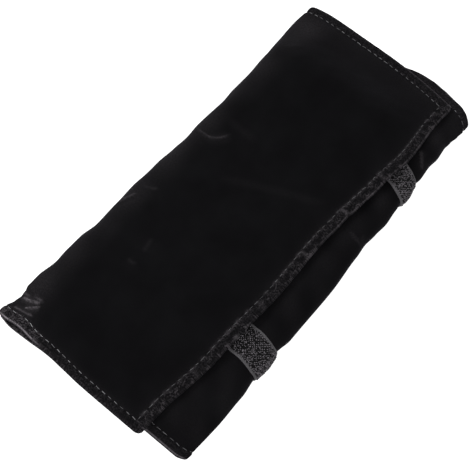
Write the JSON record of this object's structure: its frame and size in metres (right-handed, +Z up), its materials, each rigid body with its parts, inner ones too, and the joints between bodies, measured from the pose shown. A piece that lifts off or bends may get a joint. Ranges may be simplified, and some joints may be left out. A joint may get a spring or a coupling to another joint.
{
  "type": "jewelry roll",
  "caption": "Black velvet jewelry roll, a padded sheet folded in three, closed by hook-and-loop tapes, with ring rolls, a zip pocket and slip pockets inside.",
  "frame": {"origin": "middle of the footprint of the closed roll, on the surface it lies on", "axes": "+Z up, +Y along the folds, +X from the back fold to the front fold with the closing tapes"},
  "size_m": [0.15, 0.3, 0.026],
  "materials": {
    "velvet": "short black velvet pile",
    "lining": "black velvet lining",
    "padding": "soft foam",
    "loop_pile": "dark grey loop pile on woven tape",
    "hook_nylon": "nylon hooks on woven tape",
    "zip_weave": "woven zip tape",
    "zip_nylon": "moulded teeth",
    "nickel": "satin nickel plate",
    "elastic": "gathered elastic binding",
    "thread": "pale grey sewing thread"
  },
  "bodies": {
    "base": {"base_cover": "velvet", "base_padding": "padding", "base_lining": "lining", "ring_roll_1": "velvet", "ring_roll_2": "velvet", "ring_roll_3": "velvet", "ring_band_near": "lining", "ring_band_far": "lining", "zip_pocket_facing": "lining", "zip_pocket_front": "lining", "zip_tape_inner": "zip_weave", "zip_tape_outer": "zip_weave", "zip_teeth_inner": "zip_nylon", "zip_teeth_outer": "zip_nylon", "zip_top_stop_inner": "zip_nylon", "zip_top_stop_outer": "zip_nylon", "zip_bottom_stop": "zip_nylon"},
    "back_spine": {"back_fold_cover": "velvet", "back_fold_lining": "lining"},
    "flap": {"flap_cover": "velvet", "flap_padding": "padding", "flap_lining": "lining", "flap_pocket": "lining", "flap_pocket_elastic": "elastic", "hook_tape_near": "hook_nylon", "hook_tape_far": "hook_nylon"},
    "front_spine": {"front_fold_cover": "velvet", "front_fold_lining": "lining", "loop_tape_near_fold": "loop_pile", "loop_tape_far_fold": "loop_pile"},
    "front_panel": {"front_panel_cover": "velvet", "front_panel_padding": "padding", "front_panel_lining": "lining", "front_pocket": "lining", "front_pocket_elastic": "elastic", "loop_tape_near_panel": "loop_pile", "loop_tape_far_panel": "loop_pile"},
    "zip_slider": {"zip_slider": "nickel"},
    "zip_pull": {"zip_pull": "nickel"}
  },
  "joints": [
    {"name": "back_fold", "type": "hinge", "parent": "base", "child": "back_spine", "pos_m": [-0.06875, 0, 0], "axis": [-0.0416, -0.9991, 0], "range_deg": [0, 90]},
    {"name": "flap_fold", "type": "hinge", "parent": "back_spine", "child": "flap", "pos_m": [-0.06875, 0, 0.026], "axis": [-0.0416, -0.9991, 0], "range_deg": [0, 90]},
    {"name": "front_fold", "type": "hinge", "parent": "base", "child": "front_spine", "pos_m": [0.075, 0, 0], "axis": [0, 1, 0], "range_deg": [0, 90]},
    {"name": "front_panel_fold", "type": "hinge", "parent": "front_spine", "child": "front_panel", "pos_m": [0.075, 0, 0.0221], "axis": [0, 1, 0], "range_deg": [0, 90]},
    {"name": "zip_slide", "type": "slide", "parent": "base", "child": "zip_slider", "axis": [0, 1, 0], "range_m": [-0.174, 0]},
    {"name": "zip_pull_lift", "type": "hinge", "parent": "zip_slider", "child": "zip_pull", "pos_m": [0.01751, 0.087, 0.00965], "axis": [-1, 0, 0], "range_deg": [0, 12]}
  ],
  "couplings": [
    {"joint": "flap_fold", "follows": "back_fold", "ratio": 1},
    {"joint": "front_fold", "follows": "back_fold", "ratio": 1},
    {"joint": "front_panel_fold", "follows": "back_fold", "ratio": 1}
  ]
}
